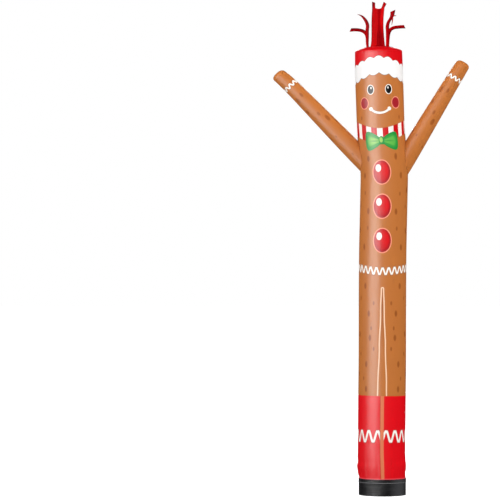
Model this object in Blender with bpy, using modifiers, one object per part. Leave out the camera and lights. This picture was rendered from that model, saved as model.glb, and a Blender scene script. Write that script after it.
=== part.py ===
"""Inflatable air dancer: a tall tube of thin cloth with two arms, on a collar that slips over an air outlet.

It has the shape that it holds while air fills it. Metres, +Z up, front towards -Y. The origin lies on the
ground, midway between the tips of the two arms, so the foot of the tube stands a little to its right.
"""

from collections import namedtuple
from math import atan, cos, exp, hypot, pi, radians, sin

import bmesh
import bpy
from mathutils import Matrix, Vector

# Cloth and seams
SEAM_GAP = 0.0003           # between two pieces that are sewn together
TUBE_WALL = 0.0018
ARM_WALL = 0.0016
COLLAR_WALL = 0.003
STREAMER_WALL = 0.0015
BAND_WALL = 0.002
TUBE_SIDES = 40
ARM_SIDES = 24

# Base collar
FOOT_X = 0.0736             # the foot's axis, from the middle of the arms' span
COLLAR_HEIGHT = 0.110
COLLAR_BORE = 0.1528        # radius, over an outlet of 12 inches
COLLAR_HEM_LOW = 0.083      # the hem's lower fold, which shows as a line
COLLAR_HEM_STEP = 0.0009    # how far the folded hem stands out

# Body tube. Lean is sideways from the foot's axis. Gather is how deep the small puckers above the collar are.
TubeSection = namedtuple("TubeSection", "height lean radius gather")
TUBE_SECTIONS = [
    TubeSection(0.086, 0.0000, COLLAR_BORE - SEAM_GAP, 0.0000),
    TubeSection(0.110, 0.0000, COLLAR_BORE - SEAM_GAP, 0.0000),
    TubeSection(0.122, 0.0000, 0.1528, 0.0008),
    TubeSection(0.145, -0.0005, 0.1545, 0.0045),
    TubeSection(0.170, -0.0010, 0.1590, 0.0030),
    TubeSection(0.197, -0.0020, 0.1608, 0.0034),
    TubeSection(0.225, -0.0030, 0.1565, 0.0010),
    TubeSection(0.252, -0.0040, 0.1572, 0.0015),
    TubeSection(0.290, -0.0050, 0.1563, 0.0004),
    TubeSection(0.400, -0.0047, 0.1565, 0.0000),
    TubeSection(0.620, -0.0027, 0.1565, 0.0000),
    TubeSection(0.900, 0.0000, 0.1563, 0.0000),
    TubeSection(1.250, 0.0007, 0.1562, 0.0000),
    TubeSection(1.600, 0.0028, 0.1560, 0.0000),
    TubeSection(1.800, 0.0070, 0.1560, 0.0000),
    TubeSection(1.980, 0.0108, 0.1560, 0.0000),
    TubeSection(2.100, 0.0128, 0.1562, 0.0000),
    TubeSection(2.200, 0.0085, 0.1566, 0.0000),
    TubeSection(2.300, -0.0010, 0.1570, 0.0000),
    TubeSection(2.400, -0.0090, 0.1573, 0.0000),
    TubeSection(2.500, -0.0130, 0.1574, 0.0000),
    TubeSection(2.600, -0.0162, 0.1577, 0.0000),
    TubeSection(2.740, -0.0208, 0.1580, 0.0000),
    TubeSection(2.870, -0.0240, 0.1567, 0.0000),
    TubeSection(2.916, -0.0253, 0.1561, 0.0000),
]
GATHER_WAVES = [(5, 0.6), (9, 0.4)]     # puckers round the tube and their share; one stands out at -X
SHOULDER_ZONE = (1.980, 2.600)          # the tube's sections that an arm can meet

# Arms. The seat is where an arm's axis meets the tube's side. Sag is how far its tip has dropped off it.
Arm = namedtuple("Arm", "name seat_x seat_z rise length sag")
ARMS = [
    Arm("arm_left", -0.1576, 2.2374, radians(134.1), 0.762, 0.014),
    Arm("arm_right", 0.1705, 2.2374, radians(59.1), 0.714, 0.004),
]
ArmSection = namedtuple("ArmSection", "from_tip radius")
ARM_SECTIONS = [
    ArmSection(0.000, 0.0000),
    ArmSection(0.003, 0.0190),
    ArmSection(0.009, 0.0330),
    ArmSection(0.018, 0.0430),
    ArmSection(0.032, 0.0470),
    ArmSection(0.070, 0.0490),
    ArmSection(0.120, 0.0505),
    ArmSection(0.240, 0.0535),
    ArmSection(0.380, 0.0572),
    ArmSection(0.520, 0.0605),
    ArmSection(0.640, 0.0630),
    ArmSection(0.760, 0.0645),
    ArmSection(0.900, 0.0650),
]
ARM_INSIDE = 0.130          # how far an uncut sleeve reaches past its seat, into the tube
SAG_LENGTH = 0.060          # the sag fades over this length of the arm

# Top panel, on the tube's top edge
CROWN = TUBE_SECTIONS[-1]
CROWN_X = FOOT_X + CROWN.lean
DOME_RISE = 0.034
DOME_POWER = 0.8
DOME_RIM = 0.004            # upright edge of the panel at the crown seam
VENT_RADIUS = 0.055
DOME_SHARES = (1.0, 0.985, 0.945, 0.87, 0.75)  # of the crown's radius, outside the hair's band

# Hair. Side and depth run from the head's axis, depth towards the front; up runs from the crown seam.
BAND_RADII = (0.096, 0.086, 0.076, 0.066)
Station = namedtuple("Station", "side depth up width turn")
STREAMERS = {
    "left_high": [
        Station(-0.0713, 0.048, None, 0.025, -56),
        Station(-0.0735, 0.052, 0.060, 0.026, -50),
        Station(-0.0735, 0.055, 0.098, 0.026, -42),
        Station(-0.0740, 0.058, 0.138, 0.025, -34),
        Station(-0.0700, 0.060, 0.175, 0.023, -28),
        Station(-0.0780, 0.062, 0.203, 0.020, -25),
        Station(-0.0935, 0.064, 0.226, 0.015, -25),
        Station(-0.1115, 0.066, 0.239, 0.009, -25),
        Station(-0.1320, 0.067, 0.246, 0.003, -25),
    ],
    "left_low": [
        Station(-0.0705, 0.0285, None, 0.025, -68),
        Station(-0.0735, 0.031, 0.060, 0.026, -62),
        Station(-0.0760, 0.034, 0.095, 0.026, -54),
        Station(-0.0830, 0.037, 0.119, 0.025, -46),
        Station(-0.0980, 0.040, 0.134, 0.023, -40),
        Station(-0.1170, 0.042, 0.141, 0.019, -36),
        Station(-0.1450, 0.043, 0.145, 0.017, -34),
        Station(-0.1810, 0.042, 0.144, 0.018, -34),
    ],
    "right_high": [
        Station(0.0580, 0.0635, None, 0.024, 42),
        Station(0.0595, 0.064, 0.060, 0.025, 40),
        Station(0.0600, 0.065, 0.098, 0.025, 37),
        Station(0.0600, 0.066, 0.130, 0.025, 34),
        Station(0.0585, 0.067, 0.162, 0.024, 30),
        Station(0.0635, 0.068, 0.187, 0.021, 27),
        Station(0.0750, 0.069, 0.209, 0.018, 20),
        Station(0.0860, 0.070, 0.226, 0.020, 8),
        Station(0.0920, 0.070, 0.246, 0.024, -8),
        Station(0.0945, 0.069, 0.266, 0.030, -20),
    ],
    "right_low": [
        Station(0.0620, 0.0439, None, 0.024, 55),
        Station(0.0625, 0.046, 0.060, 0.026, 52),
        Station(0.0640, 0.049, 0.095, 0.026, 47),
        Station(0.0690, 0.052, 0.125, 0.026, 42),
        Station(0.0800, 0.055, 0.145, 0.024, 38),
        Station(0.1000, 0.057, 0.156, 0.020, 34),
        Station(0.1320, 0.058, 0.161, 0.017, 32),
        Station(0.1700, 0.057, 0.163, 0.018, 32),
    ],
    "right_tail": [
        Station(0.0895, 0.070, 0.238, 0.018, -35),
        Station(0.0905, 0.071, 0.218, 0.013, -25),
        Station(0.0915, 0.073, 0.200, 0.007, -20),
        Station(0.0890, 0.074, 0.180, 0.002, -20),
    ],
    "right_barb": [
        Station(0.0910, 0.069, 0.243, 0.012, 30),
        Station(0.1030, 0.070, 0.243, 0.008, 30),
        Station(0.1180, 0.071, 0.247, 0.002, 30),
    ],
}

# The wide streamer is creased along a ridge, which stands forward, and a valley, which lies back.
WideRow = namedtuple("WideRow", "up left ridge valley right depth crease")
WIDE_ROWS = [
    WideRow(None, -0.052, -0.014, 0.032, 0.044, 0.0720, 0.0085),
    WideRow(0.060, -0.048, -0.012, 0.030, 0.040, 0.0700, 0.0080),
    WideRow(0.098, -0.046, -0.009, 0.025, 0.037, 0.0685, 0.0070),
    WideRow(0.140, -0.046, -0.006, 0.018, 0.034, 0.0670, 0.0060),
    WideRow(0.180, -0.046, -0.004, 0.012, 0.033, 0.0650, 0.0050),
    WideRow(0.225, -0.045, -0.004, 0.012, 0.034, 0.0630, 0.0045),
    WideRow(0.280, -0.042, -0.004, 0.020, 0.037, 0.0600, 0.0050),
]
Horn = namedtuple("Horn", "up left right depth")
LEFT_HORN = [Horn(0.302, -0.0410, -0.0240, 0.0590), Horn(0.325, -0.0405, -0.0250, 0.0570)]
RIGHT_HORN = [Horn(0.302, 0.0265, 0.0430, 0.0590), Horn(0.324, 0.0360, 0.0510, 0.0560)]
HORN_WIDTH = 0.019


def clear_scene():
    for thing in list(bpy.data.objects):
        bpy.data.objects.remove(thing, do_unlink=True)


def new_collection(name):
    made = bpy.data.collections.new(name)
    bpy.context.scene.collection.children.link(made)
    return made


def cloth(name, colour, roughness):
    made = bpy.data.materials.new(name)
    made.use_nodes = True
    shader = made.node_tree.nodes["Principled BSDF"]
    shader.inputs["Base Color"].default_value = (*colour, 1.0)
    shader.inputs["Roughness"].default_value = roughness
    shader.inputs["Metallic"].default_value = 0.0
    made.diffuse_color = (*colour, 1.0)
    return made


def add_part(name, mesh, material, smooth_below=radians(40)):
    """A visible sub-part."""
    part = bpy.data.objects.new(name, mesh)
    PARTS.objects.link(part)
    mesh.materials.append(material)
    mesh.shade_smooth()
    if mesh.polygons:
        mesh.set_sharp_from_angle(angle=smooth_below)
    return part


def add_helper(name, mesh):
    """A shape that only cuts or joins others."""
    helper = bpy.data.objects.new(name, mesh)
    HELPERS.objects.link(helper)
    helper.hide_render = True
    helper.display_type = 'WIRE'
    return helper


def surface(name, *patches, closed=False):
    """One open surface through patches of rows of points, welded where they meet. Closed rows are rings."""
    bm = bmesh.new()
    for rows in patches:
        if closed:
            rows = [row + row[:1] for row in rows]
        along, across = len(rows) - 1, len(rows[0]) - 1
        grid = bmesh.ops.create_grid(bm, x_segments=across, y_segments=along, size=0.5)
        for vert in grid["verts"]:
            column = round((vert.co.x + 0.5) * across)
            row = round((vert.co.y + 0.5) * along)
            vert.co = rows[row][column]
    bmesh.ops.remove_doubles(bm, verts=bm.verts, dist=1e-5)
    mesh = bpy.data.meshes.new(name)
    bm.to_mesh(mesh)
    bm.free()
    return mesh


def capped(mesh):
    """Closes the two open ends of a tube."""
    bm = bmesh.new()
    bm.from_mesh(mesh)
    bmesh.ops.holes_fill(bm, edges=[edge for edge in bm.edges if edge.is_boundary], sides=0)
    bmesh.ops.recalc_face_normals(bm, faces=bm.faces)
    bm.to_mesh(mesh)
    bm.free()
    return mesh


def profile(name, points, loop):
    """Points (radius, height) to turn about Z. At +X they run down the outer side."""
    mesh = bpy.data.meshes.new(name)
    count = len(points)
    edges = [(n, n + 1) for n in range(count - 1)] + ([(count - 1, 0)] if loop else [])
    mesh.from_pydata([(radius, 0.0, height) for radius, height in points], edges, [])
    return mesh


def turn(part):
    screw = part.modifiers.new("Turn", 'SCREW')
    screw.steps = screw.render_steps = TUBE_SIDES
    screw.use_merge_vertices = True
    screw.merge_threshold = 0.0001
    screw.use_smooth_shade = True


def thicken(part, wall, offset):
    """Offset -1 lays the wall inside the surface, 1 outside it and 0 on both sides."""
    solid = part.modifiers.new("Wall", 'SOLIDIFY')
    solid.thickness = wall
    solid.offset = offset
    solid.use_even_offset = True


def combine(part, helper, operation):
    boolean = part.modifiers.new(f"{operation.title()} {helper.name}", 'BOOLEAN')
    boolean.operation = operation
    boolean.object = helper


def tube_slope(section):
    """Sideways lean per metre of height, which tips the section so that it lies square to the tube."""
    place = TUBE_SECTIONS.index(section)
    if place < 2:
        return 0.0
    below, above = TUBE_SECTIONS[place - 1], TUBE_SECTIONS[min(place + 1, len(TUBE_SECTIONS) - 1)]
    return (above.lean - below.lean) / (above.height - below.height)


def tube_ring(section, grow=0.0):
    """The tube's outline at one section."""
    ring = []
    slope = tube_slope(section)
    for n in range(TUBE_SIDES):
        angle = 2 * pi * n / TUBE_SIDES
        wave = -sum(share * cos(count * angle) for count, share in GATHER_WAVES)
        radius = section.radius + section.gather * wave + grow
        side = radius * cos(angle)
        x = FOOT_X + section.lean + side
        ring.append(Vector((x, radius * sin(angle), section.height - slope * side)))
    return ring


def arm_rings(arm, wall=0.0, outer_end=0.0):
    """A sleeve's outlines, from inside the tube to outer_end, which runs from the tip. Wall draws them in."""
    direction = Vector((cos(arm.rise), 0.0, sin(arm.rise)))
    across = Vector((0.0, 1.0, 0.0))
    beside = across.cross(direction)
    outward = beside if beside.z < 0 else -beside
    seat = Vector((FOOT_X + arm.seat_x, 0.0, arm.seat_z))
    longest = arm.length + ARM_INSIDE
    kept = [section for section in ARM_SECTIONS if outer_end <= section.from_tip < longest]
    kept.append(ArmSection(longest, ARM_SECTIONS[-1].radius))
    rings = []
    for section in reversed(kept):
        centre = seat + direction * (arm.length - section.from_tip)
        centre += outward * arm.sag * exp(-section.from_tip / SAG_LENGTH)
        radius = max(section.radius - wall, 0.0)
        turns = [2 * pi * n / ARM_SIDES for n in range(ARM_SIDES)]
        rings.append([centre + (beside * cos(turn) + across * -sin(turn)) * radius for turn in turns])
    return rings


def dome_height(radius):
    share = min(radius / CROWN.radius, 1.0)
    return DOME_RIM + DOME_RISE * (1.0 - share ** 2) ** DOME_POWER


def head_frame():
    """The crown seam's place and tip."""
    return Matrix.Translation((CROWN_X, 0.0, CROWN.height)) @ Matrix.Rotation(atan(tube_slope(CROWN)), 4, 'Y')


def make_collar(material):
    """A heavy band with a folded hem round its top."""
    outer = COLLAR_BORE + COLLAR_WALL
    points = [
        (outer + COLLAR_HEM_STEP, COLLAR_HEIGHT),
        (outer + COLLAR_HEM_STEP, COLLAR_HEM_LOW),
        (outer, COLLAR_HEM_LOW - COLLAR_HEM_STEP),
        (outer, 0.0),
        (COLLAR_BORE, 0.0),
        (COLLAR_BORE, COLLAR_HEIGHT),
    ]
    collar = add_part("base_collar", profile("base_collar", points, loop=True), material)
    collar.location.x = FOOT_X
    turn(collar)


def make_tube(material):
    """The printed wrap, with a hole for each arm."""
    rings = [tube_ring(section) for section in TUBE_SECTIONS]
    tube = add_part("body_tube", surface("body_tube", rings, closed=True), material)
    thicken(tube, TUBE_WALL, -1)
    for arm in ARMS:
        rings = arm_rings(arm, ARM_WALL, outer_end=arm.length - ARM_INSIDE)
        bore = capped(surface(f"{arm.name}_bore", rings, closed=True))
        combine(tube, add_helper(f"{arm.name}_bore", bore), 'DIFFERENCE')


def make_arms(material):
    """Tapered sleeves, each cut to the tube's side."""
    low, high = SHOULDER_ZONE
    zone = [section for section in TUBE_SECTIONS if low <= section.height <= high]
    side = capped(surface("tube_side", [tube_ring(section, SEAM_GAP) for section in zone], closed=True))
    tube_side = add_helper("tube_side", side)
    for arm in ARMS:
        sleeve = add_part(arm.name, surface(arm.name, arm_rings(arm), closed=True), material)
        thicken(sleeve, ARM_WALL, -1)
        combine(sleeve, tube_side, 'DIFFERENCE')


def make_top_panel(material):
    """The dome that closes the tube, round its vent."""
    radii = [CROWN.radius * share for share in DOME_SHARES] + list(BAND_RADII) + [VENT_RADIUS]
    points = [(radius, dome_height(radius)) for radius in reversed(radii)] + [(CROWN.radius, 0.0)]
    panel = add_part("top_panel", profile("top_panel", points, loop=False), material)
    panel.matrix_world = head_frame() @ Matrix.Translation((0.0, 0.0, SEAM_GAP))
    turn(panel)
    thicken(panel, TUBE_WALL, -1)


def head_point(side, depth, up):
    """A point of the hair. With no height given it is a root, sewn into the middle of the band."""
    if up is None:
        root = dome_height(hypot(side, depth)) + 2 * SEAM_GAP + BAND_WALL / 2
        return head_frame() @ Vector((side, -depth, root))
    return Vector((CROWN_X + side, -depth, CROWN.height + up))


def ribbon_rows(stations):
    """The two edges of a narrow streamer. Turn 0 shows its face to the front."""
    middles = [head_point(station.side, station.depth, station.up) for station in stations]
    rows = []
    for n, station in enumerate(stations):
        along = (middles[min(n + 1, len(middles) - 1)] - middles[max(n - 1, 0)]).normalized()
        flat = Vector((0.0, 1.0, 0.0)).cross(along).normalized()
        across = flat * cos(radians(station.turn)) + along.cross(flat) * sin(radians(station.turn))
        edges = [middles[n] - across * station.width / 2, middles[n] + across * station.width / 2]
        if station.up is None:
            edges = [head_point(edge.x - CROWN_X, -edge.y, None) for edge in edges]
        rows.append(edges)
    return rows


def wide_patches():
    """The wide streamer's creased length and the two horns of its torn end."""
    rows = []
    for row in WIDE_ROWS:
        left = head_point(row.left, row.depth - 1.2 * row.crease, row.up)
        ridge = head_point(row.ridge, row.depth + row.crease, row.up)
        valley = head_point(row.valley, row.depth - 0.6 * row.crease, row.up)
        right = head_point(row.right, row.depth - 0.3 * row.crease, row.up)
        left_fold = left.lerp(ridge, HORN_WIDTH / (row.ridge - row.left))
        rows.append([left, left_fold, ridge, valley, right])
    horns = []
    for first, steps in ((rows[-1][:2], LEFT_HORN), (rows[-1][3:], RIGHT_HORN)):
        horns.append([first] + [
            [head_point(step.left, step.depth, step.up), head_point(step.right, step.depth, step.up)]
            for step in steps
        ])
    return [rows] + horns


def make_hair(material):
    """Streamers whose roots are sewn into one band round the vent."""
    points = [(radius, dome_height(radius)) for radius in reversed(BAND_RADII)]
    hair = add_part("hair_streamers", profile("hair_streamers", points, loop=False), material)
    hair.matrix_world = head_frame() @ Matrix.Translation((0.0, 0.0, 2 * SEAM_GAP))
    turn(hair)
    thicken(hair, BAND_WALL, 1)
    shapes = {name: [ribbon_rows(stations)] for name, stations in STREAMERS.items()}
    shapes["wide"] = wide_patches()
    for name, patches in shapes.items():
        streamer = add_helper(f"streamer_{name}", surface(f"streamer_{name}", *patches))
        thicken(streamer, STREAMER_WALL, 0)
        combine(hair, streamer, 'UNION')


clear_scene()
PARTS = new_collection("air_dancer")
HELPERS = new_collection("helpers")
make_collar(cloth("collar_cloth", (0.012, 0.012, 0.013), 0.75))
make_tube(cloth("printed_cloth", (0.52, 0.175, 0.038), 0.5))
make_arms(cloth("arm_cloth", (0.52, 0.175, 0.038), 0.5))
make_top_panel(cloth("top_cloth", (0.78, 0.002, 0.008), 0.5))
make_hair(cloth("hair_cloth", (0.60, 0.0, 0.002), 0.5))
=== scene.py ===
# Inflatable air dancer: cloth, print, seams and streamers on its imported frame.
# Metres, +Z up, front towards -Y. Colours are written as a screen shows them, from 0 to 255.

from collections import namedtuple
from functools import cache, partialmethod
from math import atan, atan2, cos, dist, exp, hypot, pi, radians, sin, sqrt

import bmesh
import bpy
from mathutils import Matrix, Vector, noise


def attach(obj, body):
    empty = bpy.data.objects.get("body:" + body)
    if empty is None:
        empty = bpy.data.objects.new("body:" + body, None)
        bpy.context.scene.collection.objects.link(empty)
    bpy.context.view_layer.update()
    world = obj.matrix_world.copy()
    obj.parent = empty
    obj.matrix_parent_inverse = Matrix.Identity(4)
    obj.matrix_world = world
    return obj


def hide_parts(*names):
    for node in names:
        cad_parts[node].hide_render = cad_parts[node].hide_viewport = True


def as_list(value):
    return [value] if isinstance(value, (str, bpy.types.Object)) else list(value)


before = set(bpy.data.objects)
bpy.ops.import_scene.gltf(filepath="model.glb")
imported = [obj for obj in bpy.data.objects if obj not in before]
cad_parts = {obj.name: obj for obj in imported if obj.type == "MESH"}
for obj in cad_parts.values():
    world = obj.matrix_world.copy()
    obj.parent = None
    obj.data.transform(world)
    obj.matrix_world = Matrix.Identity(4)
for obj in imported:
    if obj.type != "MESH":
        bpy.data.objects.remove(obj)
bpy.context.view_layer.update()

footX = 0.0736   # where the foot's axis stands
seamGap = 0.0003   # between two pieces that are sewn together
mergeBelow = 2e-6   # edges that meet are sewn up


# Shapes: curves through tables, and flat panels wrapped into place

def clamped(value):
    return min(max(value, 0.0), 1.0)


def readCurve(rows, at, column):   # a smooth curve through one column of a table
    last = len(rows) - 1
    place = 0
    while place < last - 1 and rows[place + 1][0] < at:
        place += 1
    low, high = rows[place], rows[place + 1]
    before, after = rows[max(place - 1, 0)], rows[min(place + 2, last)]
    span = high[0] - low[0]
    t = clamped((at - low[0]) / span)
    rest = 1.0 - t
    lowRise = (high[column] - before[column]) / (high[0] - before[0]) * span
    highRise = (after[column] - low[column]) / (after[0] - low[0]) * span
    return (low[column] * rest * rest * (1.0 + 2.0 * t) + high[column] * t * t * (3.0 - 2.0 * t)
            + lowRise * t * rest * rest - highRise * t * t * rest)


def evenly(low, high, count):
    return [low + (high - low) * n / count for n in range(count + 1)]


def stops(*runs):   # the start, then (end, how many steps) for each run
    found = [runs[0]]
    for end, count in runs[1:]:
        found += evenly(found[-1], end, count)[1:]
    return found


def lengthsAlong(spots):
    lengths = [0.0]
    for before, after in zip(spots, spots[1:]):
        lengths.append(lengths[-1] + dist(before, after))
    return lengths


def roundSpot(angle, radius, height=0.0):   # angle 0 is the middle of the front
    return Vector((radius * sin(angle), -radius * cos(angle), height))


def ripples(waves, angle):   # waves: count round the piece, share, turn
    return sum(share * cos(count * angle + turn) for count, share, turn in waves)


def meshOf(name, bm):
    mesh = bpy.data.meshes.new(name)
    bm.to_mesh(mesh)
    bm.free()
    return mesh


def addObject(name, data):
    thing = bpy.data.objects.new(name, data)
    bpy.context.scene.collection.objects.link(thing)
    return thing


def addPiece(name, mesh, material, slot, smoothBelow=50):
    piece = addObject(name, mesh)
    mesh.materials.append(material)
    mesh.shade_smooth()
    mesh.set_sharp_from_angle(angle=radians(smoothBelow))
    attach(piece, "root")
    return piece


def startCloth():
    bm = bmesh.new()
    bm.loops.layers.uv.new("Cloth")
    bm.verts.layers.float.new("fold")
    return bm


def layPanel(bm, columns, rows, place, flat=None, fold=None):   # flat cloth, moved into its shape
    clothMap, folds = bm.loops.layers.uv["Cloth"], bm.verts.layers.float["fold"]
    across, along = len(columns) - 1, len(rows) - 1
    for vert in bmesh.ops.create_grid(bm, x_segments=across, y_segments=along, size=0.5)["verts"]:
        spot = columns[round((vert.co.x + 0.5) * across)], rows[round((vert.co.y + 0.5) * along)]
        for loop in vert.link_loops:
            loop[clothMap].uv = flat(*spot) if flat else spot
        vert.co = place(*spot)
        # a tone given here is stored as painted shade, which the streamers' material reads
        if fold:
            vert[folds] = fold(*spot)


def sewUp(name, bm):
    bmesh.ops.remove_doubles(bm, verts=bm.verts, dist=mergeBelow)
    return meshOf(name, bm)


def wrapPanel(name, columns, rows, place, flat=None):
    bm = startCloth()
    layPanel(bm, columns, rows, place, flat)
    return sewUp(name, bm)


def addCloth(name, mesh, material, slot, node, restsOn, wall=0.0, side=-1, flat=None, area=None,
             smoothBelow=50, held="stretched"):   # flat: its cut size, or else read off its flat map
    piece = addPiece(name, mesh, material, slot, smoothBelow)
    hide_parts(node)
    if flat is None:
        spots = [Vector(spot.vector) for spot in mesh.uv_layers["Cloth"].uv]
        flat = [max(spot[n] for spot in spots) - min(spot[n] for spot in spots) for n in (0, 1)]
        area = 0.0
        for face in mesh.polygons:
            corners = [spots[n] for n in face.loop_indices]
            area += abs(sum(a.x * b.y - a.y * b.x for a, b in zip(corners, corners[1:] + corners[:1]))) / 2
        area = min(area, flat[0] * flat[1])
    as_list(restsOn)
    print(f"{name}: cut {flat[0]:.3f} by {flat[1]:.3f} m")
    if wall:
        solid = piece.modifiers.new("Wall", 'SOLIDIFY')
        solid.thickness = wall
        solid.offset = side   # -1 is inside the surface, 1 outside, 0 both
        solid.use_even_offset = True
    return piece


def settle(piece):   # keeps the shape that the modifiers give
    bpy.context.view_layer.update()
    shaped = piece.evaluated_get(bpy.context.evaluated_depsgraph_get())
    piece.data = bpy.data.meshes.new_from_object(shaped)
    piece.data.name = piece.name
    piece.modifiers.clear()


# Node materials: values that read as sums

def shade(*levels):
    shares = [level / 255.0 for level in levels]
    return *(share / 12.92 if share <= 0.04045 else ((share + 0.055) / 1.055) ** 2.4 for share in shares), 1.0


class Wire(namedtuple("Wire", "tree socket")):   # one value or colour of a material
    def calc(self, operation, *others, clamp=False):
        inputs = dict(enumerate((self, *others)))
        return addNode(self.tree, "Math", inputs, operation=operation, use_clamp=clamp)

    __add__ = partialmethod(calc, "ADD")
    __sub__ = partialmethod(calc, "SUBTRACT")
    __mul__ = partialmethod(calc, "MULTIPLY")
    __truediv__ = partialmethod(calc, "DIVIDE")
    __abs__ = partialmethod(calc, "ABSOLUTE")

    def under(self, edge, soft=0.0016):   # 1 where this lies below the edge
        if isinstance(edge, Wire):
            return (edge - self).calc("MULTIPLY_ADD", 1.0 / soft, 0.5, clamp=True)
        return self.calc("MULTIPLY_ADD", -1.0 / soft, edge / soft + 0.5, clamp=True)

    def over(self, edge, soft=0.0016):
        return self.under(edge, -soft)

    def paint(self, mask, tone):   # an ink or colour over it where the mask is 1
        tone = shade(*ink[tone]) if isinstance(tone, str) else tone
        return addNode(self.tree, "Mix", {0: mask, 6: self, 7: tone}, 2, data_type='RGBA', clamp_factor=True)


def plug(socket, value):
    if isinstance(value, Wire):
        value.tree.links.new(value.socket, socket)
    else:
        socket.default_value = value


def addNode(tree, kind, inputs, output=0, **settings):
    node = tree.nodes.new("ShaderNode" + kind)
    for name, value in settings.items():
        setattr(node, name, value)
    for socket, value in inputs.items():
        plug(node.inputs[socket], value)
    return Wire(tree, node.outputs[output])


def splitUp(vector):
    node = addNode(vector.tree, "SeparateXYZ", {0: vector}).socket.node
    return [Wire(vector.tree, socket) for socket in node.outputs]


def newMaterial(name, roughness, specular=0.5):
    material = bpy.data.materials.new(name)
    material.use_nodes = True
    shader = material.node_tree.nodes["Principled BSDF"]
    shader.inputs["Roughness"].default_value = roughness
    shader.inputs["Specular IOR Level"].default_value = specular
    return material, shader


def inCells(across, along, wide, tall):
    return addNode(across.tree, "CombineXYZ", {0: across / wide, 1: along / tall})


def mottle(across, along, wide, tall, detail=2.0):   # soft noise in patches of wide by tall metres
    inputs = {"Vector": inCells(across, along, wide, tall), "Scale": 1.0, "Detail": detail}
    return addNode(across.tree, "TexNoise", inputs, "Fac", noise_dimensions='2D')


def ovals(across, along, wide, tall, size, jitter):   # one oval in each wide by tall cell, 1 inside it
    inputs = {"Vector": inCells(across, along, wide, tall), "Scale": 1.0, "Randomness": jitter}
    away = addNode(across.tree, "TexVoronoi", inputs, "Distance", voronoi_dimensions='2D')
    own = addNode(across.tree, "SeparateColor", {0: Wire(away.tree, away.socket.node.outputs["Color"])})
    return away.under(own * size + size * 0.45, 0.085)


clothLooks = {   # roughness, specular level
    "printedCloth": (0.4, 0.65), "sleeveCloth": (0.4, 0.35), "topCloth": (0.4, 0.65),
    "streamerCloth": (0.5, 0.03), "collarCloth": (0.42, 0.5),
}
ripstop = {
    "pitch": 0.0052,   # of the heavier threads
    "thread": 0.0005,   # half their width
    "soft": 0.0004, "weave": 0.0008, "weaveShare": 0.35, "relief": 0.00012, "ripple": 0.0016,
    "wear": 0.06,   # how much the worn patches darken it
    "lines": 0.07,   # how much the threads darken it
    "dark": (0.02, 0.01, 0.008, 1.0),
}


def plainWeave(across, along, pitch):
    return (across * (pi / pitch)).calc("SINE") * (along * (pi / pitch)).calc("SINE")


def finishCloth(colour, across, along):   # worn patches, a grid of heavier threads, soft puckers
    wear, dark = ripstop["wear"], ripstop["dark"]
    patches = mottle(across, along, 0.13, 0.3).calc("MULTIPLY_ADD", wear, -wear * 0.35, clamp=True)
    grid, cross = (way.calc("PINGPONG", ripstop["pitch"] / 2).under(ripstop["thread"], ripstop["soft"])
                   for way in (across, along))
    weave = grid.calc("MAXIMUM", cross) + plainWeave(across, along, ripstop["weave"]) * ripstop["weaveShare"]
    colour = colour.paint(patches, dark).paint(weave.calc("MULTIPLY", ripstop["lines"], clamp=True), dark)
    ripple = mottle(across, along, 0.035, 0.16, 1.0)
    return colour, weave * ripstop["relief"] + ripple * ripstop["ripple"], 0.55


def finishCollar(colour, across, along):
    rib = plainWeave(across, along, collar["rib"])
    return colour, rib * 0.0002 + mottle(across, along, 0.05, 0.02, 1.0) * 0.001, 0.6


def makeCloth(name, draw, finish=finishCloth):   # across and along the flat cloth, in metres
    material, shader = newMaterial(name, *clothLooks[name])
    across, along, _ = splitUp(addNode(material.node_tree, "UVMap", {}, "UV", uv_map="Cloth"))
    colour = across
    for mask, tone in draw(across, along):
        colour = colour.paint(mask, tone)
    colour, relief, strength = finish(colour, across, along)
    plug(shader.inputs["Base Color"], colour)
    bump = addNode(across.tree, "Bump", {"Strength": strength, "Distance": 1.0, "Height": relief})
    plug(shader.inputs["Normal"], bump)
    return material


# The printed wrap. Lean is sideways from the foot's axis, gather the depth of the large puckers.

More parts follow.
